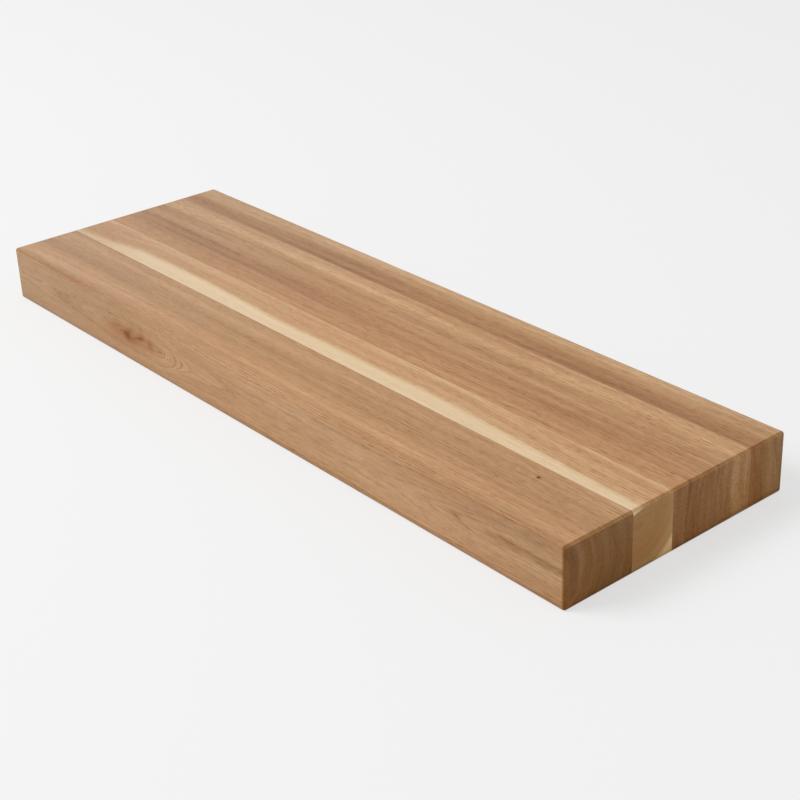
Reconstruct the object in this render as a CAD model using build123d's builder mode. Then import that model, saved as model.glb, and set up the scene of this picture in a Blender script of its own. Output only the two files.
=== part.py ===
"""Solid wood stair tread: four full-length staves, edge-glued into one thick panel with rounded arrises.

The origin is the middle of the underside. +X runs along the grain, +Y from the front edge to the back, +Z up.
"""

import os

from build123d import *

# Driving dimensions of the finished tread, in millimetres
tread_length = 914.4
tread_thickness = 63.5
arris_radius = 3.2

# Width of each stave, from the front edge to the back
front_stave_width = 81.7
sapwood_stave_width = 51.7
wide_stave_width = 104.6
back_stave_width = 47.75

stave_widths = {
    "front_stave": front_stave_width,
    "sapwood_stave": sapwood_stave_width,
    "wide_stave": wide_stave_width,
    "back_stave": back_stave_width,
}
tread_depth = sum(stave_widths.values())

# The glued panel: planed to one thickness, then rounded along every outer edge, straight across the glue joints
with BuildPart() as panel:
    with BuildSketch(Plane.YZ) as section:
        Rectangle(tread_depth, tread_thickness, align=(Align.CENTER, Align.MIN))
    extrude(amount=tread_length / 2, both=True)
    fillet(panel.edges(), radius=arris_radius)

# Each stave is a board sawn to its own width, which keeps its square glued faces and takes the panel's rounding
os.makedirs("parts", exist_ok=True)
stave_front = -tread_depth / 2
for stave_name, stave_width in stave_widths.items():
    with BuildPart() as stave:
        with BuildSketch(Plane.XY) as board:
            with Locations((0, stave_front)):
                Rectangle(tread_length, stave_width, align=(Align.CENTER, Align.MIN))
        extrude(amount=tread_thickness)
        add(panel.part, mode=Mode.INTERSECT)
    stave.part.label = stave_name
    export_step(stave.part, f"parts/{stave_name}.step")
    stave_front += stave_width
    print(f"{stave_name}: {stave_width:g} mm wide, {stave.part.volume / 1e6:.3f} litres")
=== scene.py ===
# %% [markdown]
# # A solid wood stair tread
# The tread is four boards, called staves, glued edge to edge, planed flat and rounded along every arris.
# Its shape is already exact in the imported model, so the four staves stay as they are and this lesson is
# about the wood: one solid pattern for each stave that runs through the board, so that the top, the front
# and the end grain agree with each other as they do when a real log is sawn. Nothing on the tread repeats
# or follows a path, so there is nothing here for Geometry Nodes to lay out.

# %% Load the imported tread
import math

import bpy
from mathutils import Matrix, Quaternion, Vector


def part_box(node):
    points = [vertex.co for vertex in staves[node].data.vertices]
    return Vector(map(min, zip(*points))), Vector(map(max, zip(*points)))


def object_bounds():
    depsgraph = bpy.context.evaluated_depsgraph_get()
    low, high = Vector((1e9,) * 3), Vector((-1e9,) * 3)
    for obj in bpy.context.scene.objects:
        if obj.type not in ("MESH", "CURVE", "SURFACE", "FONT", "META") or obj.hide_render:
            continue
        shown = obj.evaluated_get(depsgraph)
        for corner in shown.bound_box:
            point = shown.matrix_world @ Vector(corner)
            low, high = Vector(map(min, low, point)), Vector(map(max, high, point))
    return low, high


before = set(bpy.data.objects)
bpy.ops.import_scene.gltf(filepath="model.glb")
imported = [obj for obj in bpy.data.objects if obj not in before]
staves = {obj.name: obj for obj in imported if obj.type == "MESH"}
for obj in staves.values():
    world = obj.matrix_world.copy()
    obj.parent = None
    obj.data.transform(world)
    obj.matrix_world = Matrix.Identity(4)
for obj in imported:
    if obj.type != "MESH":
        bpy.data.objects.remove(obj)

MM = 0.001
cad_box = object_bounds()
stave_box = {name: [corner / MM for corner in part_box(name)] for name in staves}
for name, (low, high) in stave_box.items():
    size = high - low
    print(f"{name}: Y {low.y:.1f} to {high.y:.1f} mm, {size.x:.1f} mm long, {size.z:.1f} mm thick")

# %% [markdown]
# ## Camera
# The picture looks down on the near end of the tread from its right. The camera could be set by eye, but
# the edges of a box fix it: the place, the aim and the small roll below make the six outer edges fall
# where the picture shows them. The lens follows from the focal length in pixels and Blender's 36 mm
# sensor. The lens's axis falls a little beside the middle of the picture, and two small lens shifts stand
# for that.

# %% Place the camera
CAMERA_PLACE = Vector((1263.85, -968.53, 796.23)) * MM
AIM_POINT = Vector((86.32, 37.1, 31.75)) * MM
CAMERA_ROLL = math.radians(-1.762)
FOCAL_PIXELS = 1667.2
PICTURE_PIXELS = 800
AXIS_RIGHT, AXIS_UP = 31.4, 30.3
SENSOR_WIDTH = 36.0

scene = bpy.context.scene
camera_data = bpy.data.cameras.new("camera")
camera_data.sensor_width = SENSOR_WIDTH
camera_data.lens = SENSOR_WIDTH * FOCAL_PIXELS / PICTURE_PIXELS
camera_data.shift_x = -AXIS_RIGHT / PICTURE_PIXELS
camera_data.shift_y = -AXIS_UP / PICTURE_PIXELS
camera = bpy.data.objects.new("camera", camera_data)
scene.collection.objects.link(camera)
camera.location = CAMERA_PLACE
camera.rotation_mode = "QUATERNION"
view_line = AIM_POINT - CAMERA_PLACE
looking = view_line.to_track_quat("-Z", "Y")
camera.rotation_quaternion = looking @ Quaternion((0, 0, 1), CAMERA_ROLL)
scene.camera = camera
scene.view_settings.view_transform = "Standard"
print(f"camera: {camera_data.lens:.2f} mm lens, {view_line.length:.3f} m from what it aims at")

# %% [markdown]
# ## Nodes and colours
# Every material here is a small graph. One function adds a node with its settings and links, so that a
# graph reads as a list of nodes. Colours are written as sRGB hex values, as a colour picker gives them,
# and one function turns them to the linear values that the renderer works with.

# %% Helpers for nodes and colours


def add(tree, kind, feeds=(), stops=(), points=(), **settings):
    """Adds a node: settings are its properties, feeds its inputs by name or number, as a value or as a link.

    stops are a colour ramp's (place, colour) pairs and points a curve's (place, level) pairs, both in rising
    order.
    """
    node = tree.nodes.new(kind)
    for name, value in settings.items():
        setattr(node, name, value)
    for number, (place, colour) in enumerate(stops):
        elements = node.color_ramp.elements
        element = elements[number] if number < 2 else elements.new(place)
        element.position, element.color = place, colour
    if points:
        curve = node.mapping.curves[0].points
        curve[0].location, curve[1].location = points[0], points[-1]
        for place, level in points[1:-1]:
            curve.new(place, level)
        node.mapping.update()
    for key, feed in dict(feeds).items():
        if isinstance(feed, bpy.types.Node):
            feed = feed.outputs[0]
        if isinstance(feed, bpy.types.NodeSocket):
            tree.links.new(feed, node.inputs[key])
        else:
            node.inputs[key].default_value = feed
    return node


def linear(hex_colour):
    """Linear RGBA of an sRGB hex colour such as #C0A080."""
    parts = [int(hex_colour[i : i + 2], 16) / 255 for i in (1, 3, 5)]
    return [p / 12.92 if p <= 0.04045 else ((p + 0.055) / 1.055) ** 2.4 for p in parts] + [1.0]


print("the backdrop's #F2F2F2 is", [round(c, 3) for c in linear("#F2F2F2")])

# %% [markdown]
# ## Floor and light
# A studio sweep would do for the floor, but a large plane with the backdrop's own pale grey behind it
# looks the same and keeps the shadow. The camera and mirror-like rays see that pale grey almost directly,
# with a share of the lit paper mixed in for the shadow; all other rays see the lit paper alone. The light
# is plain: an even white sky and one large soft lamp, high up in front on the left, so that a colour
# renders about as it is written.

# %% Pale floor
BACKDROP = linear("#F2F2F2")
PAPER = linear("#ECECEC")
FLOOR_SIZE = 20.0
FLOOR_SHADOW = 0.3


def sees_backdrop(tree):
    """One for the rays that show the backdrop itself: from the camera, mirrored or passed through."""
    rays = add(tree, "ShaderNodeLightPath")
    seen = add(tree, "ShaderNodeMath", {0: rays.outputs["Is Camera Ray"], 1: rays.outputs["Is Glossy Ray"]},
               operation="MAXIMUM")
    return add(tree, "ShaderNodeMath", {0: seen, 1: rays.outputs["Is Transmission Ray"]}, operation="MAXIMUM")


floor_mesh = bpy.data.meshes.new("floor")
half = FLOOR_SIZE / 2
floor_z = cad_box[0].z
corners = [(-half, -half, floor_z), (half, -half, floor_z), (half, half, floor_z), (-half, half, floor_z)]
floor_mesh.from_pydata(corners, [], [(0, 1, 2, 3)])
floor = bpy.data.objects.new("floor", floor_mesh)
scene.collection.objects.link(floor)

# Matt paper has no shine, so the floor shows nothing but even light and a soft shadow
paper = bpy.data.materials.new("matt_paper_sweep")
paper.use_nodes = True
tree = paper.node_tree
tree.nodes.clear()
glow = add(tree, "ShaderNodeEmission", {"Color": BACKDROP})
pale = add(tree, "ShaderNodeBsdfDiffuse", {"Color": PAPER})
shown = add(tree, "ShaderNodeMixShader", {0: FLOOR_SHADOW, 1: glow, 2: pale})
both = add(tree, "ShaderNodeMixShader", {0: sees_backdrop(tree), 1: pale, 2: shown})
add(tree, "ShaderNodeOutputMaterial", {"Surface": both})
floor_mesh.materials.append(paper)
print("floor:", FLOOR_SIZE, "m square")

# %% World and lamp
SKY_LEVEL = 0.53
KEY_PLACE = Vector((-2.2, -3.0, 3.7))
KEY_SIZE = 2.6
KEY_WATTS = 232.0

world = bpy.data.worlds.new("studio")
scene.world = world
world.use_nodes = True
tree = world.node_tree
tree.nodes.clear()
sky = add(tree, "ShaderNodeBackground", {"Color": (1, 1, 1, 1), "Strength": SKY_LEVEL})
backdrop = add(tree, "ShaderNodeBackground", {"Color": BACKDROP, "Strength": 1.0})
both = add(tree, "ShaderNodeMixShader", {0: sees_backdrop(tree), 1: sky, 2: backdrop})
add(tree, "ShaderNodeOutputWorld", {"Surface": both})

key_data = bpy.data.lights.new("key", "AREA")
key_data.shape = "SQUARE"
key_data.size = KEY_SIZE
key_data.energy = KEY_WATTS
key = bpy.data.objects.new("key", key_data)
scene.collection.objects.link(key)
key.location = KEY_PLACE
key.rotation_euler = (-KEY_PLACE).to_track_quat("-Z", "Y").to_euler()
print("key lamp:", KEY_WATTS, "W,", KEY_SIZE, "m square")

# %% [markdown]
# ## Where a point lies in the log
# A flat picture of wood could be laid on each face, but its lines would break at every edge. Real wood is
# a solid pattern, so all nodes read Object coordinates here, turned to millimetres. Grain is never quite
# straight: a slow noise, long along the board and narrow across it, moves the point sideways by a few
# millimetres, and a quick one by a fraction of that. Each stave comes from another log, so a board number
# moves the noise along and no line carries on across a glue joint.

# %% Group: the wandering grain


def new_group(name, inputs, outputs):
    """An empty node group with the named sockets, given as name: kind of value."""
    tree = bpy.data.node_groups.new(name, "ShaderNodeTree")
    for side, sockets in (("INPUT", inputs), ("OUTPUT", outputs)):
        for socket, kind in sockets.items():
            tree.interface.new_socket(socket, in_out=side, socket_type="NodeSocket" + kind)
    return tree, add(tree, "NodeGroupInput")


BOARD_STEP = 3000.0
SLOW_WAVE, SLOW_ACROSS = 330.0, 70.0
QUICK_WAVE, QUICK_ACROSS, QUICK_SHARE = 48.0, 7.0, 0.3
NOISE_GAIN = 4.0  # a noise keeps within about a quarter of its middle, one half

grain, given = new_group("wandering_grain", {"Board": "Float", "Wander": "Float"},
                         {"Straight place": "Vector", "Place": "Vector", "Fibre place": "Vector"})
object_place = add(grain, "ShaderNodeTexCoord").outputs["Object"]
in_mm = add(grain, "ShaderNodeMapping", {"Vector": object_place, "Scale": (1 / MM,) * 3})
board_start = add(grain, "ShaderNodeMath", {0: given.outputs["Board"], 1: BOARD_STEP}, operation="MULTIPLY")
board_shift = add(grain, "ShaderNodeCombineXYZ", {"X": board_start})
along = add(grain, "ShaderNodeVectorMath", {0: in_mm, 1: board_shift}, operation="ADD")
moved = in_mm
for wave, across, share in ((SLOW_WAVE, SLOW_ACROSS, 1.0), (QUICK_WAVE, QUICK_ACROSS, QUICK_SHARE)):
    stretched = add(grain, "ShaderNodeMapping", {"Vector": along,
                                                 "Scale": (1 / wave, 1 / across, 1 / across)})
    noise = add(grain, "ShaderNodeTexNoise", {"Vector": stretched, "Scale": 1.0, "Detail": 1.0})
    centred = add(grain, "ShaderNodeVectorMath", {0: noise.outputs["Color"], 1: (0.5, 0.5, 0.5)},
                  operation="SUBTRACT")
    gain = NOISE_GAIN * share
    sideways = add(grain, "ShaderNodeVectorMath", {0: centred, 1: (0, gain, gain)}, operation="MULTIPLY")
    sideways = add(grain, "ShaderNodeVectorMath", {0: sideways, "Scale": given.outputs["Wander"]},
                   operation="SCALE")
    moved = add(grain, "ShaderNodeVectorMath", {0: moved, 1: sideways}, operation="ADD")
fibre_place = add(grain, "ShaderNodeVectorMath", {0: moved, 1: board_shift}, operation="ADD")
add(grain, "NodeGroupOutput", {"Straight place": in_mm, "Place": moved, "Fibre place": fibre_place})
print("wandering grain group has", len(grain.nodes), "nodes")

# %% [markdown]
# ## Growth rings
# A year's growth starts with a row of open pores, which shows as a thin dark line, and ends in dense
# smooth wood. A Wave Texture could draw the rings, but it makes them all alike. Counting rings outwards
# from the pith, the whole part of the count names the ring and the rest is the place in it. A random
# value for each ring makes some lines strong and others faint, and a slow one makes the rings uneven.
# Broad streaks of colour follow the rings too, so their noise is read across the rings, along them and
# along the board: on top they look like long streaks and on the end like upright bands.

# %% Group: growth rings
UNEVEN, UNEVEN_RATE = 2.2, 0.31
RING_SEED = 7.31
FAINTEST_LINE = 0.2
STREAK_LENGTH, STREAK_WIDTH, STREAK_ROUND = 280.0, 7.0, 80.0

growth, given = new_group("growth_rings", {"Fibre place": "Vector", "Radius": "Float", "Ring width": "Float",
                                           "Board": "Float"},
                          {"Line": "Float", "Ring tone": "Float", "Streak": "Float"})
count = add(growth, "ShaderNodeMath", {0: given.outputs["Radius"], 1: given.outputs["Ring width"]},
            operation="DIVIDE")
uneven_place = add(growth, "ShaderNodeMath", {0: count, 1: UNEVEN_RATE, 2: given.outputs["Board"]},
                   operation="MULTIPLY_ADD")
uneven = add(growth, "ShaderNodeTexNoise", {"W": uneven_place, "Scale": 1.0, "Detail": 1.0},
             noise_dimensions="1D")
count = add(growth, "ShaderNodeMath", {0: uneven, 1: UNEVEN, 2: count}, operation="MULTIPLY_ADD")
number = add(growth, "ShaderNodeMath", {0: count}, operation="FLOOR")
within = add(growth, "ShaderNodeMath", {0: count}, operation="FRACT")
seeded = add(growth, "ShaderNodeMath", {0: given.outputs["Board"], 1: RING_SEED, 2: number},
             operation="MULTIPLY_ADD")
chance = add(growth, "ShaderNodeTexWhiteNoise", {"W": seeded}, noise_dimensions="1D")
early = add(growth, "ShaderNodeFloatCurve", {"Value": within},
            points=[(0.0, 1.0), (0.14, 0.9), (0.45, 0.2), (0.8, 0.0), (0.92, 0.1), (1.0, 1.0)])
strength = add(growth, "ShaderNodeMapRange", {"Value": chance.outputs["Value"], "To Min": FAINTEST_LINE,
                                              "To Max": 1.0})
line = add(growth, "ShaderNodeMath", {0: early, 1: strength}, operation="MULTIPLY")
axes = add(growth, "ShaderNodeSeparateXYZ", {0: given.outputs["Fibre place"]})
ring_place = add(growth, "ShaderNodeCombineXYZ", {"X": axes.outputs["X"], "Y": given.outputs["Radius"],
                                                  "Z": axes.outputs["Z"]})
stretched = add(growth, "ShaderNodeMapping", {
    "Vector": ring_place, "Scale": (1 / STREAK_LENGTH, 1 / STREAK_WIDTH, 1 / STREAK_ROUND)})
streak = add(growth, "ShaderNodeTexNoise", {"Vector": stretched, "Scale": 1.0, "Detail": 2.0})
add(growth, "NodeGroupOutput", {"Line": line, "Ring tone": chance.outputs["Value"], "Streak": streak})
print("growth rings group has", len(growth.nodes), "nodes")

# %% [markdown]
# ## Fibres and pores
# Between the rings the wood shows fine fibres along the grain, short dark pores and a faint mottle across
# it. They could be cut as grooves, but there are many thousands and most are thinner than a pixel, so
# noise that is stretched along the board gives all three. Real pores are 0.2 to 0.3 mm wide, a quarter of
# a pixel here, so they are drawn about four times as wide to show.

# %% Group: fibres and pores
FIBRE_LENGTH, FIBRE_WIDTH = 24.0, 1.5
PORE_LENGTH, PORE_WIDTH = 8.0, 1.1
PORE_STARTS, PORE_FULL = 0.56, 0.70
MOTTLE_LENGTH, MOTTLE_WIDTH = 12.0, 4.5

fibres, given = new_group("fibres_and_pores", {"Fibre place": "Vector"},
                          {"Fibre": "Float", "Pore": "Float", "Mottle": "Float"})
made = {}
for name, length, width, detail in (("Fibre", FIBRE_LENGTH, FIBRE_WIDTH, 2.0),
                                    ("Pore", PORE_LENGTH, PORE_WIDTH, 0.0),
                                    ("Mottle", MOTTLE_LENGTH, MOTTLE_WIDTH, 1.0)):
    stretched = add(fibres, "ShaderNodeMapping",
                    {"Vector": given.outputs["Fibre place"], "Scale": (1 / length, 1 / width, 1 / width)})
    made[name] = add(fibres, "ShaderNodeTexNoise", {"Vector": stretched, "Scale": 1.0, "Detail": detail})
made["Pore"] = add(fibres, "ShaderNodeMapRange", {"Value": made["Pore"], "From Min": PORE_STARTS,
                                                  "From Max": PORE_FULL}, interpolation_type="SMOOTHSTEP")
add(fibres, "NodeGroupOutput", made)
print("fibres and pores group has", len(fibres.nodes), "nodes")

# %% [markdown]
# ## Which way a surface was cut
# End grain drinks finish and looks darker and browner than the long grain. A second material on the end
# faces would stop at a hard edge, so the surface's own direction tells the two apart: it points along the
# board on the ends only. Where the top rounds over to the end, the fibres are cut at a slant, and the end
# grain starts only near the end face. On the upright arris it starts sooner. The golden band on the
# arrises round the end is partly oil taken up by the slanting fibres and partly painted shade, where the
# arris turns from the light. Along the front and the back the arris is a little darker and less shiny:
# rubbed with oil, and partly painted shade too.

# %% Group: end grain and arrises
END_STARTS_LATE = 1.0
END_STARTS, END_FULL = 0.3, 0.7
ARRIS_FULL = 0.1
ARRIS_FADES, ARRIS_GONE = 0.5, 0.97
TURN_STARTS, TURN_FULL = 0.1, 0.45

cut, given = new_group("cut_direction", {}, {"End": "Float", "Arris": "Float", "Long arris": "Float"})
facing = add(cut, "ShaderNodeTexCoord").outputs["Normal"]
facing = add(cut, "ShaderNodeVectorMath", {0: facing}, operation="ABSOLUTE")
axes = add(cut, "ShaderNodeSeparateXYZ", {0: facing})
endwise = add(cut, "ShaderNodeMath", {0: axes.outputs["Z"], 1: -END_STARTS_LATE, 2: axes.outputs["X"]},
              operation="MULTIPLY_ADD")
end = add(cut, "ShaderNodeMapRange", {"Value": endwise, "From Min": END_STARTS, "From Max": END_FULL},
          interpolation_type="SMOOTHSTEP")
turned = {}
for axis in "YZ":
    turned[axis] = add(cut, "ShaderNodeMapRange", {"Value": axes.outputs[axis], "From Min": TURN_STARTS,
                                                   "From Max": TURN_FULL}, interpolation_type="SMOOTHSTEP")
begins = add(cut, "ShaderNodeMapRange", {"Value": axes.outputs["X"], "From Min": 0.0, "From Max": ARRIS_FULL},
             interpolation_type="SMOOTHSTEP")
ceases = add(cut, "ShaderNodeMapRange", {"Value": axes.outputs["X"], "From Min": ARRIS_FADES,
                                         "From Max": ARRIS_GONE, "To Min": 1.0, "To Max": 0.0},
             interpolation_type="SMOOTHSTEP")
arris = add(cut, "ShaderNodeMath", {0: begins, 1: ceases}, operation="MULTIPLY")
long_arris = add(cut, "ShaderNodeMath", {0: turned["Y"], 1: turned["Z"]}, operation="MULTIPLY")
add(cut, "NodeGroupOutput", {"End": end, "Arris": arris, "Long arris": long_arris})
print("cut direction group has", len(cut.nodes), "nodes")

# %% [markdown]
# ## Streaks and knots
# A knot, a pin knot and a long dark streak could be painted on a face, but in real wood they go into the
# board. So they are all soft spots in the solid here, each of its own length, width and depth. A Mapping
# node of the texture type moves, turns and scales space so that the spot becomes a ball of radius one
# round the origin, and a bell curve of the distance gives its soft edge.

# %% Group: soft spot
spot, given = new_group("soft_spot", {"Place": "Vector", "Middle": "Vector", "Size": "Vector",
                                      "Turn": "Vector"}, {"Amount": "Float"})
local = add(spot, "ShaderNodeMapping", {"Vector": given.outputs["Place"], "Location": given.outputs["Middle"],
                                        "Rotation": given.outputs["Turn"], "Scale": given.outputs["Size"]},
            vector_type="TEXTURE")
squared = add(spot, "ShaderNodeVectorMath", {0: local, 1: local}, operation="DOT_PRODUCT").outputs["Value"]
falling = add(spot, "ShaderNodeMath", {0: squared, 1: -1.0}, operation="MULTIPLY")
bell = add(spot, "ShaderNodeMath", {0: falling}, operation="EXPONENT")
add(spot, "NodeGroupOutput", {"Amount": bell})


def spots(tree, place, listed):
    """The summed amount of soft spots, each given by its middle, size, turn in degrees and strength."""
    total = None
    for middle, size, turn, strength in listed:
        one = add(tree, "ShaderNodeGroup", {"Place": place.outputs["Place"], "Middle": middle, "Size": size,
                                            "Turn": (0, math.radians(-turn), 0)}, node_tree=spot)
        total = add(tree, "ShaderNodeMath", {0: one, 1: strength, 2: total or 0.0}, operation="MULTIPLY_ADD")
    return total


def stained(tree, place, colour, tint, listed):
    """The colour, multiplied by a tint in the soft spots."""
    amount = spots(tree, place, listed)
    return add(tree, "ShaderNodeMix", {0: amount, 6: colour, 7: linear(tint)}, data_type="RGBA",
               blend_type="MULTIPLY").outputs[2]


print("soft spot group has", len(spot.nodes), "nodes")

# %% [markdown]
# ## From figure to finish
# Each stave's material could hold these nodes itself, but one shared group keeps the four alike. It puts
# the figure together: streaks, fibres, ring lines and pores add up to one change of tone, and the wood is
# browned where the grain is cut across. Dark grain is also redder, so the change of tone acts least on
# red and most on blue. "Figure" says how strongly all this shows. The group also gives a height for the
# bump, a roughness, because pores stay open under a thin coat of oil, and the shine, which is less on the
# arrises and in a knot: the oil soaks in there and stays dull, and a pale sheen would turn the dark wood
# purple.

# %% Group: finished wood
STREAK_SHARE, FIBRE_SHARE, MOTTLE_SHARE, RING_SHARE = 0.60, 0.52, 0.20, 0.12
END_STREAKS = 0.2
PORE_DEPTH = 0.22
PORES_ANYWHERE = 0.4
MEAN_LINE = 0.22
END_LINES = 0.3
WARM_GRAIN = (0.7, 1.0, 1.6)
# The two arris tints below are partly oil and partly painted shade: darker, more golden arrises round the end
# and slightly darker long arrises
ARRIS_OIL_AND_SHADE = linear("#E6DCC2")
RUBBED_OIL_AND_SHADE = linear("#F6F3EE")
SHINE, END_SHINE, ARRIS_SHINE, END_ARRIS_SHINE = 0.5, 0.15, 0.45, 0.4
SMOOTH_ROUGHNESS, PORE_ROUGHNESS, END_ROUGHER = 0.46, 0.62, 0.25

finished, given = new_group(
    "finished_wood",
    {"Colour": "Color", "Figure": "Float", "Line": "Float", "Line depth": "Float", "Ring tone": "Float",
     "Streak": "Float", "Fibre": "Float", "Pore": "Float", "Mottle": "Float", "End": "Float",
     "Arris": "Float", "Long arris": "Float", "Dull": "Float", "End tint": "Color"},
    {"Colour": "Color", "Roughness": "Float", "Shine": "Float", "Height": "Float"})
streaks = add(finished, "ShaderNodeMath", {0: given.outputs["End"], 1: END_STREAKS * STREAK_SHARE,
                                           2: STREAK_SHARE}, operation="MULTIPLY_ADD")
tone = 0.0
shares = {"Streak": streaks, "Fibre": FIBRE_SHARE, "Mottle": MOTTLE_SHARE, "Ring tone": RING_SHARE}
for name, share in shares.items():
    centred = add(finished, "ShaderNodeMath", {0: given.outputs[name], 1: 0.5}, operation="SUBTRACT")
    tone = add(finished, "ShaderNodeMath", {0: centred, 1: share, 2: tone}, operation="MULTIPLY_ADD")
end_lines = add(finished, "ShaderNodeMapRange", {"Value": given.outputs["End"], "To Min": 1.0,
                                                 "To Max": END_LINES})
line_depth = add(finished, "ShaderNodeMath", {0: given.outputs["Line depth"], 1: end_lines},
                 operation="MULTIPLY")
line = add(finished, "ShaderNodeMath", {0: given.outputs["Line"], 1: MEAN_LINE}, operation="SUBTRACT")
line = add(finished, "ShaderNodeMath", {0: line, 1: line_depth}, operation="MULTIPLY")
pore_where = add(finished, "ShaderNodeMath", {0: given.outputs["Line"], 1: 1 - PORES_ANYWHERE,
                                              2: PORES_ANYWHERE}, operation="MULTIPLY_ADD")
pore_here = add(finished, "ShaderNodeMath", {0: pore_where, 1: given.outputs["Pore"]}, operation="MULTIPLY")
dark = add(finished, "ShaderNodeMath", {0: pore_here, 1: PORE_DEPTH, 2: line}, operation="MULTIPLY_ADD")
tone = add(finished, "ShaderNodeMath", {0: tone, 1: dark}, operation="SUBTRACT")
tone = add(finished, "ShaderNodeMath", {0: tone, 1: given.outputs["Figure"]}, operation="MULTIPLY")
tone = add(finished, "ShaderNodeVectorMath", {0: tone, 1: WARM_GRAIN, 2: (1, 1, 1)},
           operation="MULTIPLY_ADD")
wood = add(finished, "ShaderNodeVectorMath", {0: given.outputs["Colour"], 1: tone}, operation="MULTIPLY")
browned = add(finished, "ShaderNodeMix", {0: given.outputs["End"], 6: wood, 7: given.outputs["End tint"]},
              data_type="RGBA", blend_type="MULTIPLY")
# Partly painted shade: the arrises are tinted darker and more golden, as well as oiled
oiled_and_shaded = add(finished, "ShaderNodeMix", {0: given.outputs["Arris"], 6: browned.outputs[2], 7: ARRIS_OIL_AND_SHADE},
            data_type="RGBA", blend_type="MULTIPLY")
oiled_and_shaded = add(finished, "ShaderNodeMix", {0: given.outputs["Long arris"], 6: oiled_and_shaded.outputs[2], 7: RUBBED_OIL_AND_SHADE},
            data_type="RGBA", blend_type="MULTIPLY")
height = add(finished, "ShaderNodeMath", {0: given.outputs["Fibre"], 1: pore_here}, operation="SUBTRACT")
rough = add(finished, "ShaderNodeMapRange", {"Value": pore_here, "To Min": SMOOTH_ROUGHNESS,
                                             "To Max": PORE_ROUGHNESS})
rough = add(finished, "ShaderNodeMath", {0: given.outputs["End"], 1: END_ROUGHER, 2: rough},
            operation="MULTIPLY_ADD")
shine = add(finished, "ShaderNodeMapRange", {"Value": given.outputs["End"], "To Min": SHINE,
                                             "To Max": END_SHINE})
dulling = add(finished, "ShaderNodeMath", {0: given.outputs["Long arris"], 1: 1 - ARRIS_SHINE,
                                           2: given.outputs["Dull"]}, operation="MULTIPLY_ADD")
dulling = add(finished, "ShaderNodeMath", {0: given.outputs["Arris"], 1: 1 - END_ARRIS_SHINE, 2: dulling},
              operation="MULTIPLY_ADD")
glossy = add(finished, "ShaderNodeMath", {0: 1.0, 1: dulling}, operation="SUBTRACT", use_clamp=True)
shine = add(finished, "ShaderNodeMath", {0: shine, 1: glossy}, operation="MULTIPLY")
add(finished, "NodeGroupOutput", {"Colour": oiled_and_shaded.outputs[2], "Roughness": rough, "Shine": shine,
                                  "Height": height})
print("finished wood group has", len(finished.nodes), "nodes")

# %% [markdown]
# ## A stave's material
# One material for the whole tread would carry the figure across the glue joints, so each stave gets its
# own from the same steps: the grain, the distance from the middle of its log, the colour across the
# board, then the finish. It is oak under a thin coat of oil: matt, with a soft pale sheen at a low angle,
# which an IOR of 1.5 and a roughness of about a half give. Beside a glue joint the last half millimetre
# is a little darker, as glue and oil soak in there; the line is drawn twice as wide as a real one, to
# show. The lowest edge is painted a little darker: painted shade where the tread stands on the floor.
# Towards the left the boards are painted greyer and a little darker, a painted sheen of the lower view
# there; towards the right their figure grows bolder; and the end grain is painted warmer lower down,
# where it catches less of the pale sheen. A hex colour can't be brighter than white, so the end tints are
# written for wood that END_LIFT has made lighter.

# %% Material of one stave
BUMP_DEPTH, BUMP_STRENGTH = 0.05, 0.3
OIL_IOR = 1.5
GLUE_LINE = 0.9
GLUE_DEPTH = 0.82
FIGURE_LEFT, FIGURE_RIGHT = 1.0, 1.4
# Painted sheen: the boards greyer and a little darker towards the left end
LEFT_SHEEN_SATURATION, LEFT_SHEEN_VALUE = 0.91, 0.94
# Painted reflection: the end grain warmer lower down, where it shows less of the pale sheen
SHEENLESS_LOW_END, SHEENLESS_LOW_END_STARTS, SHEENLESS_LOW_END_FULL = linear("#FFF6E0"), 55.0, 8.0
END_LIFT = 1.4
# Painted shade: a darker band along the lowest edge, where the tread stands on the floor
PAINTED_LOW_SHADE, PAINTED_LOW_SHADE_SPOT = "#E5E1DD", ((0, 0, 3), (1e5, 1e5, 2.6), 0, 1.0)
HALF_LENGTH = 457.2
HALF_DEPTH = cad_box[1].y / MM
BOLDER_FROM = -150.0
CURVE_SPAN = 40.0


def start_stave(name, board, wander):
    """A new material for one stave, and the node that gives the place in its log."""
    # Oiled oak looks matt and warm, with open pores and a faint pale sheen at a low angle
    material = bpy.data.materials.new("oiled_oak_" + name)
    material.use_nodes = True
    material.node_tree.nodes.clear()
    place = add(material.node_tree, "ShaderNodeGroup", {"Board": board, "Wander": wander}, node_tree=grain)
    return material, material.node_tree, place


def from_axis(tree, place, middle):
    """The distance from a line along the board through the middle, such as the pith of the log."""
    local = add(tree, "ShaderNodeVectorMath", {0: place.outputs["Place"], 1: middle}, operation="SUBTRACT")
    local = add(tree, "ShaderNodeVectorMath", {0: local, 1: (0, 1, 1)}, operation="MULTIPLY")
    return add(tree, "ShaderNodeVectorMath", {0: local}, operation="LENGTH").outputs["Value"]


def curve_along(tree, place, points):
    """A length, at most CURVE_SPAN, that changes along the board, from points of place and length."""
    axes = add(tree, "ShaderNodeSeparateXYZ", {0: place.outputs["Place"]})
    station = add(tree, "ShaderNodeMapRange", {"Value": axes.outputs["X"], "From Min": -HALF_LENGTH,
                                               "From Max": HALF_LENGTH})
    level = add(tree, "ShaderNodeFloatCurve", {"Value": station}, points=[
        ((x + HALF_LENGTH) / (2 * HALF_LENGTH), length / CURVE_SPAN) for x, length in points])
    return add(tree, "ShaderNodeMath", {0: level, 1: CURVE_SPAN}, operation="MULTIPLY")


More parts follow.
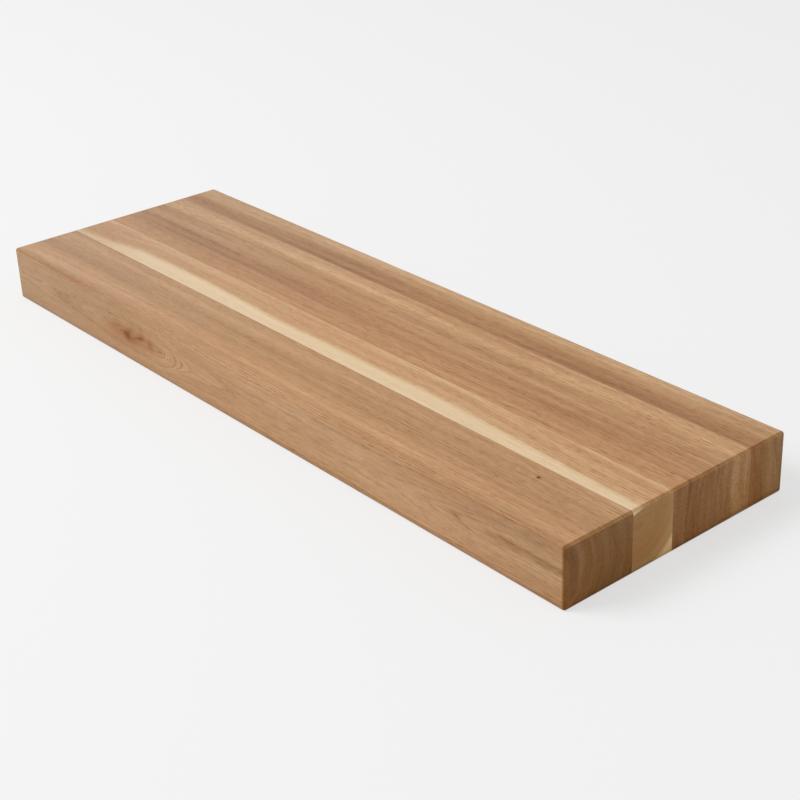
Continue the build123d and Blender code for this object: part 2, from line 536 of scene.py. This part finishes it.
def colour_across(tree, place, name, stops):
    """The stave's colour from its front side to its back, from stops of millimetres and hex colour."""
    low, high = stave_box[name]
    axes = add(tree, "ShaderNodeSeparateXYZ", {0: place.outputs["Place"]})
    share = add(tree, "ShaderNodeMapRange", {"Value": axes.outputs["Y"], "From Min": low.y,
                                             "From Max": high.y})
    return add(tree, "ShaderNodeValToRGB", {"Fac": share}, stops=[
        (mm / (high.y - low.y), linear(colour)) for mm, colour in stops]).outputs["Color"]


def finish_stave(name, board, material, place, colour, radius, ring_width, line_depth, end_tint,
                 boldness=1.0, dull=0.0):
    """Joins colour and rings to the finish and gives the material to the stave."""
    tree = material.node_tree
    straight = add(tree, "ShaderNodeSeparateXYZ", {0: place.outputs["Straight place"]})
    glued_sides = [corner.y for corner in stave_box[name] if abs(corner.y) < HALF_DEPTH - GLUE_LINE]
    for side in glued_sides:
        away = add(tree, "ShaderNodeMath", {0: straight.outputs["Y"], 1: side}, operation="SUBTRACT")
        away = add(tree, "ShaderNodeMath", {0: away}, operation="ABSOLUTE")
        glue = add(tree, "ShaderNodeMapRange", {"Value": away, "From Max": GLUE_LINE, "To Min": GLUE_DEPTH,
                                                "To Max": 1.0})
        colour = add(tree, "ShaderNodeVectorMath", {0: colour, "Scale": glue}, operation="SCALE").outputs[0]
    # Painted shade along the lowest edge
    colour = stained(tree, place, colour, PAINTED_LOW_SHADE, [PAINTED_LOW_SHADE_SPOT])
    rings = add(tree, "ShaderNodeGroup", {"Fibre place": place.outputs["Fibre place"], "Radius": radius,
                                          "Ring width": ring_width, "Board": board}, node_tree=growth)
    fine = add(tree, "ShaderNodeGroup", {"Fibre place": place.outputs["Fibre place"]}, node_tree=fibres)
    faces = add(tree, "ShaderNodeGroup", {}, node_tree=cut)
    figure = add(tree, "ShaderNodeMapRange", {"Value": straight.outputs["X"], "From Min": BOLDER_FROM,
                                              "From Max": HALF_LENGTH, "To Min": FIGURE_LEFT,
                                              "To Max": FIGURE_RIGHT})
    figure = add(tree, "ShaderNodeMath", {0: figure, 1: boldness}, operation="MULTIPLY")
    # Painted sheen: greyer and a little darker towards the left
    left_sheen = {}
    for quality, least in (("Saturation", LEFT_SHEEN_SATURATION), ("Value", LEFT_SHEEN_VALUE)):
        left_sheen[quality] = add(tree, "ShaderNodeMapRange", {
            "Value": straight.outputs["X"], "From Min": -HALF_LENGTH, "From Max": 0.0, "To Min": least,
            "To Max": 1.0})
    colour = add(tree, "ShaderNodeHueSaturation", {"Color": colour, **left_sheen})
    # Painted reflection: the end tint warmer lower down, with less of the pale sheen
    low = add(tree, "ShaderNodeMapRange", {"Value": straight.outputs["Z"], "From Min": SHEENLESS_LOW_END_STARTS,
                                           "From Max": SHEENLESS_LOW_END_FULL})
    end_tint = add(tree, "ShaderNodeMix", {0: low, 6: end_tint, 7: SHEENLESS_LOW_END}, data_type="RGBA",
                   blend_type="MULTIPLY").outputs[2]
    end_tint = add(tree, "ShaderNodeVectorMath", {0: end_tint, "Scale": END_LIFT}, operation="SCALE")
    looks = add(tree, "ShaderNodeGroup", {"Colour": colour, "Figure": figure, "Line depth": line_depth,
                                          "Dull": dull, "End tint": end_tint}, node_tree=finished)
    for source in (rings, fine, faces):
        for socket in source.outputs:
            tree.links.new(socket, looks.inputs[socket.name])
    bump = add(tree, "ShaderNodeBump", {"Height": looks.outputs["Height"], "Strength": BUMP_STRENGTH,
                                        "Distance": BUMP_DEPTH * MM})
    shader = add(tree, "ShaderNodeBsdfPrincipled", {
        "Base Color": looks.outputs["Colour"], "Roughness": looks.outputs["Roughness"], "Normal": bump,
        "IOR": OIL_IOR, "Specular IOR Level": looks.outputs["Shine"]})
    add(tree, "ShaderNodeOutputMaterial", {"Surface": shader})
    staves[name].data.materials.clear()
    staves[name].data.materials.append(material)
    print(material.name, "has", len(tree.nodes), "nodes")


# %% [markdown]
# ## Front stave
# This board was sawn beside the heart of its tree: the pith lies a little in front of the front face and
# comes nearer beside the knot and towards the ends, so the rings are cut there as pointed flames on the
# front and as straight lines on top. The flames could be drawn one by one, but bending the distance from
# the pith bends all the rings at once, as in a tree. A Float Curve holds that distance along the board,
# and the pith rises towards the right end. The knot is warm wood with a few dark spots for its core; the
# pin knot is one small dark spot on top.

# %% Front stave: the pith and its rings
PITH_HEIGHT, PITH_RISE, PITH_RISES_FROM = 33.0, 6.0, 230.0
PITH_GAP = 25.0
PITH_FADE_BACK, PITH_FADE_UP = 30.0, 26.0
FRONT_RING, FRONT_LINE_DEPTH = 2.6, 0.22

front, tree, place = start_stave("front_stave", board=1, wander=2.0)
axes = add(tree, "ShaderNodeSeparateXYZ", {0: place.outputs["Place"]})
FRONT = stave_box["front_stave"][0].y
depth = add(tree, "ShaderNodeMath", {0: axes.outputs["Y"], 1: -FRONT}, operation="ADD")
pith_height = add(tree, "ShaderNodeMapRange", {"Value": axes.outputs["X"], "From Min": PITH_RISES_FROM,
                                               "From Max": HALF_LENGTH, "To Min": PITH_HEIGHT,
                                               "To Max": PITH_HEIGHT + PITH_RISE})
rise = add(tree, "ShaderNodeMath", {0: axes.outputs["Z"], 1: pith_height}, operation="SUBTRACT")
pith_gap = curve_along(tree, place, [
    (-457.2, 21), (-380, 19.5), (-300, 15), (-250, 9), (-215, 4), (-180, 3), (-150, 4), (-141, 6.5),
    (-134, 10), (-127, 14), (-120, 17.5), (-112, 20), (-100, 22), (-80, 23.2), (-50, 24), (0, 24.6),
    (104, 25.2), (180, 26), (257, 24.6), (330, 22.0), (400, 20), (457.2, 18.8)])
nearer = add(tree, "ShaderNodeMath", {0: pith_gap, 1: PITH_GAP}, operation="SUBTRACT")
up = add(tree, "ShaderNodeMath", {0: rise, 1: PITH_FADE_UP}, operation="DIVIDE")
up = add(tree, "ShaderNodeMath", {0: up, 1: 2.0}, operation="POWER")
fading = add(tree, "ShaderNodeMath", {0: depth, 1: 1 / PITH_FADE_BACK, 2: up}, operation="MULTIPLY_ADD")
fading = add(tree, "ShaderNodeMath", {0: fading, 1: -1.0}, operation="MULTIPLY")
fading = add(tree, "ShaderNodeMath", {0: fading}, operation="EXPONENT")
gap = add(tree, "ShaderNodeMath", {0: nearer, 1: fading, 2: depth}, operation="MULTIPLY_ADD")
gap = add(tree, "ShaderNodeMath", {0: gap, 1: PITH_GAP}, operation="ADD")
offset = add(tree, "ShaderNodeCombineXYZ", {"Y": gap, "Z": rise})
radius = add(tree, "ShaderNodeVectorMath", {0: offset}, operation="LENGTH").outputs["Value"]
bolder = spots(tree, place, [
    ((197, -102.5, 63), (150, 8, 20), 0, 0.16), ((457, -67, 35), (40, 7, 45), 0, 1.0),
    ((-118, FRONT, 28), (38, 20, 22), 0, 0.25), ((330, FRONT, 33), (170, 14, 40), 0, 0.04),
    ((80, FRONT, 33), (170, 14, 40), 0, 0.26)])
line_depth = add(tree, "ShaderNodeMath", {0: bolder, 1: FRONT_LINE_DEPTH}, operation="ADD")
print("front stave: rings", FRONT_RING, "mm wide")

# %% Front stave: colour and knots
KNOT_WOOD = [((-211, FRONT, 32), (54, 22, 14), 4, 0.9), ((-160, FRONT, 35), (14, 18, 9), 0, 0.2)]
PIN_KNOT = [((361, -78.6, 63), (2.0, 1.9, 12), 0, 1.0)]
KNOT_DULLNESS = 0.62

colour = colour_across(tree, place, "front_stave", [
    (0, "#A98159"), (8, "#AD8055"), (17, "#B98B5F"), (29, "#AB7F52"), (44, "#A2774B"), (67, "#AE8458"),
    (81.7, "#AC8254")])
# Painted shade: the next three stains darken the front face towards its right and left ends, where less light
# falls
colour = stained(tree, place, colour, "#E9DFD3", [((457, FRONT, 50), (120, 5, 20), 0, 0.3)])
colour = stained(tree, place, colour, "#EFE7C7", [((-390, FRONT, 32), (220, 6, 60), 0, 1.0)])
colour = stained(tree, place, colour, "#F0ECE2", [((430, FRONT, 48), (190, 13, 32), 0, 0.9)])
# Painted shade: the front face a little darker and warmer towards its bottom
colour = stained(tree, place, colour, "#FAF2E2", [((150, FRONT, 2), (700, 6, 16), 0, 1.0)])
# Partly painted shade: a golden-orange line along the front-top arris at the left, partly oil on the edge
colour = stained(tree, place, colour, "#E8C28A", [((-370, FRONT + 0.5, 63), (100, 3.5, 3.5), 0, 0.75)])
colour = stained(tree, place, colour, "#ECCA98", KNOT_WOOD)
colour = stained(tree, place, colour, "#C8A850", [
    ((-214, FRONT, 31.5), (6, 22, 6), -20, 1.0), ((-206, FRONT, 40), (9, 14, 3.2), 35, 0.4),
    ((-204, FRONT, 26.5), (10, 14, 2.4), 8, 0.45), ((-193, FRONT, 34.3), (13, 22, 1.9), 17, 0.75),
    ((-186, FRONT, 37), (6, 22, 3.2), 20, 0.45), ((-185, FRONT, 44), (4.5, 14, 6), 0, 0.35),
    ((-168, FRONT, 35), (5.5, 14, 5.5), -20, 0.65), ((-240, FRONT, 36.5), (14, 14, 5), 8, 0.35)])
colour = stained(tree, place, colour, "#5E4430", PIN_KNOT)
end_tint = colour_across(tree, place, "front_stave", [
    (0, "#B8AC9A"), (4.5, "#BAB4AE"), (11, "#ABA6A1"), (15, "#A9A29C"), (32, "#BAB5AD"), (81.7, "#B5AFA7")])
dull = add(tree, "ShaderNodeMath", {0: spots(tree, place, KNOT_WOOD), 1: KNOT_DULLNESS,
                                    2: spots(tree, place, PIN_KNOT)}, operation="MULTIPLY_ADD")
finish_stave("front_stave", 1, front, place, colour, radius, FRONT_RING, line_depth, end_tint, dull=dull)

# %% [markdown]
# ## Sapwood stave
# The outer wood of a tree, the sapwood, stays pale. This board kept a strip of it along its front joint,
# and a wedge of it shows at the bottom of the end. A ramp across the board would give the strip a
# straight edge, so a Float Curve holds its width. Two distances are measured, one past the strip's edge
# and one past the wedge's: where the greater is above zero the wood is sapwood. They count the rings too,
# so that these follow the strip's edge on top and the wedge's on the end. End grain soaks up so much oil
# that the strip shows only along the top of the end, and the figure is calmer there.

# %% Sapwood stave: the strip, the wedge and the rings
STRIP_LEAN = (-0.93, 0.366)
WEDGE_MIDDLE, WEDGE_RADIUS = (0.0, -55.5, 52.5), 55.2
STRIP_HIDDEN, HIDING_STARTS, HIDING_FULL = 24.0, 62.0, 56.0
STRIP_RINGS_FADE, STRIP_RINGS_FULL = 46.0, 61.0
SAPWOOD_RING = 2.5
JOINT = stave_box["sapwood_stave"][0].y
TOP = stave_box["sapwood_stave"][1].z

sapwood, tree, place = start_stave("sapwood_stave", board=2, wander=1.1)
axes = add(tree, "ShaderNodeSeparateXYZ", {0: place.outputs["Place"]})
strip = curve_along(tree, place, [
    (-457.2, 5.5), (-430, 7.5), (-400, 10.5), (-380, 13), (-359, 17), (-319, 21.5), (-239, 22), (-199, 22),
    (-159, 20.7), (-118, 19.4), (-60, 17.5), (2, 19.5), (100, 20.3), (182, 22.3), (242, 19.5), (322, 16.1),
    (362, 14.2), (402, 12.2), (457.2, 11.8)])
in_from_edge = add(tree, "ShaderNodeMath", {0: axes.outputs["Y"], 1: strip}, operation="SUBTRACT")
in_from_edge = add(tree, "ShaderNodeMath", {0: in_from_edge, 1: JOINT}, operation="SUBTRACT")
under_top = add(tree, "ShaderNodeMath", {0: axes.outputs["Z"], 1: TOP}, operation="SUBTRACT")
leaning = add(tree, "ShaderNodeMath", {0: under_top, 1: STRIP_LEAN[1]}, operation="MULTIPLY")
past_strip = add(tree, "ShaderNodeMath", {0: in_from_edge, 1: STRIP_LEAN[0], 2: leaning},
                 operation="MULTIPLY_ADD")
from_middle = from_axis(tree, place, WEDGE_MIDDLE)
past_wedge = add(tree, "ShaderNodeMath", {0: from_middle, 1: WEDGE_RADIUS}, operation="SUBTRACT")
near_top = add(tree, "ShaderNodeMapRange", {"Value": axes.outputs["Z"], "From Min": STRIP_RINGS_FADE,
                                            "From Max": STRIP_RINGS_FULL}, interpolation_type="SMOOTHSTEP")
outwards = add(tree, "ShaderNodeMix", {0: near_top, 2: past_wedge, 3: past_strip}).outputs[0]
faces = add(tree, "ShaderNodeGroup", {}, node_tree=cut)
lower = add(tree, "ShaderNodeMapRange", {"Value": axes.outputs["Z"], "From Min": HIDING_STARTS,
                                         "From Max": HIDING_FULL})
hidden = add(tree, "ShaderNodeMath", {0: faces.outputs["End"], 1: lower}, operation="MULTIPLY")
strip_seen = add(tree, "ShaderNodeMath", {0: hidden, 1: -STRIP_HIDDEN, 2: past_strip},
                 operation="MULTIPLY_ADD")
past_edge = add(tree, "ShaderNodeMath", {0: strip_seen, 1: past_wedge}, operation="MAXIMUM")
print("sapwood stave: rings", SAPWOOD_RING, "mm wide")

# %% Sapwood stave: colour
SOFT_LEFT, SOFT_RIGHT, RIGHT_FROM = 2.6, 2.8, 380.0
SOFTER_IN_WEDGE, WEDGE_BLEND = 0.8, 4.0
PALING_WIDTH, WEDGE_PALING_WIDTH = 9.0, 19.0
CRISP_STARTS, CRISP_FULL = -22.0, -8.0
SAPWOOD_FIGURE, END_FIGURE = 0.35, 0.4
HEART_LINES, CRISP_LINES, SAPWOOD_LINES = 0.14, 0.25, 0.05

rightwards = add(tree, "ShaderNodeMapRange", {"Value": axes.outputs["X"], "From Min": 0.0,
                                              "From Max": RIGHT_FROM})
in_wedge = add(tree, "ShaderNodeMapRange", {"Value": past_wedge, "From Min": -WEDGE_BLEND, "From Max": 0.0})
softness = add(tree, "ShaderNodeMapRange", {"Value": rightwards, "To Min": SOFT_LEFT, "To Max": SOFT_RIGHT})
softness = add(tree, "ShaderNodeMath", {0: in_wedge, 1: SOFTER_IN_WEDGE, 2: softness},
               operation="MULTIPLY_ADD")
shared = add(tree, "ShaderNodeMath", {0: past_edge, 1: softness}, operation="DIVIDE")
pale = add(tree, "ShaderNodeMapRange", {"Value": shared, "From Min": -1.0, "From Max": 1.0},
           interpolation_type="SMOOTHSTEP")
paling = add(tree, "ShaderNodeMapRange", {"Value": past_edge, "From Min": -PALING_WIDTH, "From Max": 1.0},
             interpolation_type="SMOOTHSTEP")
toward_wedge = add(tree, "ShaderNodeMapRange", {"Value": past_wedge, "From Min": -WEDGE_PALING_WIDTH,
                                                "From Max": 1.0}, interpolation_type="SMOOTHSTEP")
paling = add(tree, "ShaderNodeMath", {0: paling, 1: toward_wedge}, operation="MAXIMUM")
colour = colour_across(tree, place, "sapwood_stave", [(0, "#B4875B"), (25, "#B5885A"), (51.7, "#BA8C60")])
colour = add(tree, "ShaderNodeMix", {0: paling, 6: colour, 7: linear("#C7A276")}, data_type="RGBA").outputs[2]
colour = add(tree, "ShaderNodeMix", {0: pale, 6: colour, 7: linear("#D6BA94")}, data_type="RGBA").outputs[2]
colour = stained(tree, place, colour, "#E6D9C6", [((-430, JOINT, 63), (80, 42, 60), 0, 0.7)])
end_tint = add(tree, "ShaderNodeMix", {0: pale, 6: linear("#D1D1CC"), 7: linear("#F2EBEA")},
               data_type="RGBA").outputs[2]
calm = add(tree, "ShaderNodeMapRange", {"Value": pale, "To Min": 1.0, "To Max": SAPWOOD_FIGURE})
even_end = add(tree, "ShaderNodeMapRange", {"Value": faces.outputs["End"], "To Min": 1.0,
                                            "To Max": END_FIGURE})
calm = add(tree, "ShaderNodeMath", {0: calm, 1: even_end}, operation="MULTIPLY")
beside = add(tree, "ShaderNodeMapRange", {"Value": past_edge, "From Min": CRISP_STARTS,
                                          "From Max": CRISP_FULL})
crisp = add(tree, "ShaderNodeMath", {0: beside, 1: rightwards}, operation="MULTIPLY")
line_depth = add(tree, "ShaderNodeMath", {0: crisp, 1: CRISP_LINES, 2: HEART_LINES},
                 operation="MULTIPLY_ADD")
line_depth = add(tree, "ShaderNodeMix", {0: pale, 2: line_depth, 3: SAPWOOD_LINES}).outputs[0]
finish_stave("sapwood_stave", 2, sapwood, place, colour, outwards, SAPWOOD_RING, line_depth, end_tint,
             boldness=calm)

# %% [markdown]
# ## Wide stave and back stave
# Both were sawn along a radius of the log, so their rings stand upright on the end and run as straight
# fine lines on top. Bands of noise would do for the top alone, but the same rings round a pith that is
# far away give the top and the end together. The wide one has a reddish double streak along its middle,
# the back one is dark beside its joint.

# %% Wide stave
WIDE_PITH, WIDE_RING = (0.0, 420.0, 20.0), 2.8
STRAIGHT_LINE_DEPTH, STRAIGHT_BOLDNESS = 0.22, 1.25

wide, tree, place = start_stave("wide_stave", board=3, wander=2.5)
radius = from_axis(tree, place, WIDE_PITH)
colour = colour_across(tree, place, "wide_stave", [
    (0, "#B28253"), (23, "#A9794C"), (43, "#A77748"), (57, "#AA7D50"), (72, "#AA7E50"), (87, "#BD9264"),
    (104.6, "#AD8054")])
colour = stained(tree, place, colour, "#DDD1B8", [
    ((-349, 36.4, 63), (130, 3.8, 40), 0, 0.7), ((-344, 21.7, 63), (140, 3.8, 40), 0, 0.75),
    ((-118, 33.2, 63), (130, 3.8, 40), 0, 0.6), ((-129, 20.5, 63), (110, 3.2, 40), 0, 0.55),
    ((62, 37, 63), (110, 4.2, 40), 0, 0.5), ((112, 22.3, 63), (140, 3.0, 40), 0, 0.55),
    ((302, 23, 63), (90, 4.5, 40), 0, 0.55), ((-38, -6.7, 63), (120, 1.4, 30), 0, 0.5),
    ((142, 67.2, 63), (60, 1.3, 20), 0, 0.4), ((262, 67, 63), (50, 1.3, 20), 0, 0.35),
    ((-310, 29, 63), (210, 7, 40), 0, 0.42), ((120, 66, 63), (140, 8, 40), 0, 0.25)])
end_tint = colour_across(tree, place, "wide_stave", [
    (0, "#C0BEC3"), (45, "#C4C3C8"), (68, "#CBCACD"), (88, "#DADAE2"), (104.6, "#D9D9E1")])
finish_stave("wide_stave", 3, wide, place, colour, radius, WIDE_RING, STRAIGHT_LINE_DEPTH, end_tint,
             boldness=STRAIGHT_BOLDNESS)

# %% Back stave
BACK_PITH, BACK_RING = (0.0, -330.0, -60.0), 2.1

back, tree, place = start_stave("back_stave", board=4, wander=2.0)
radius = from_axis(tree, place, BACK_PITH)
colour = colour_across(tree, place, "back_stave", [
    (0, "#9B6B3B"), (18, "#9C6D3D"), (23.5, "#A27545"), (30.5, "#B48A5D"), (47.75, "#B68D63")])
colour = stained(tree, place, colour, "#DDD1B8", [
    ((-179, 100.3, 63), (110, 3.0, 40), 0, 0.6), ((-139, 112, 63), (100, 3.2, 40), 0, 0.45),
    ((212, 100.3, 63), (150, 3.5, 40), 0, 0.5), ((-359, 101, 63), (70, 5.0, 40), 0, 0.3),
    ((420, 103, 63), (90, 8, 40), 0, 0.15), ((440, 130, 63), (75, 12, 40), 0, 0.6)])
# Painted shade: darker down the upright back arris of the end, which faces away from the light
colour = stained(tree, place, colour, "#DFDBD7", [((457, 141.5, 30), (6, 3.2, 45), 0, 1.0)])
end_tint = colour_across(tree, place, "back_stave", [
    (0, "#E6EBFF"), (8, "#DEE2F4"), (16, "#D3D5E2"), (24, "#D3D6E0"), (36, "#C7C4C6"), (47.75, "#C6C3C7")])
finish_stave("back_stave", 4, back, place, colour, radius, BACK_RING, STRAIGHT_LINE_DEPTH, end_tint,
             boldness=STRAIGHT_BOLDNESS)
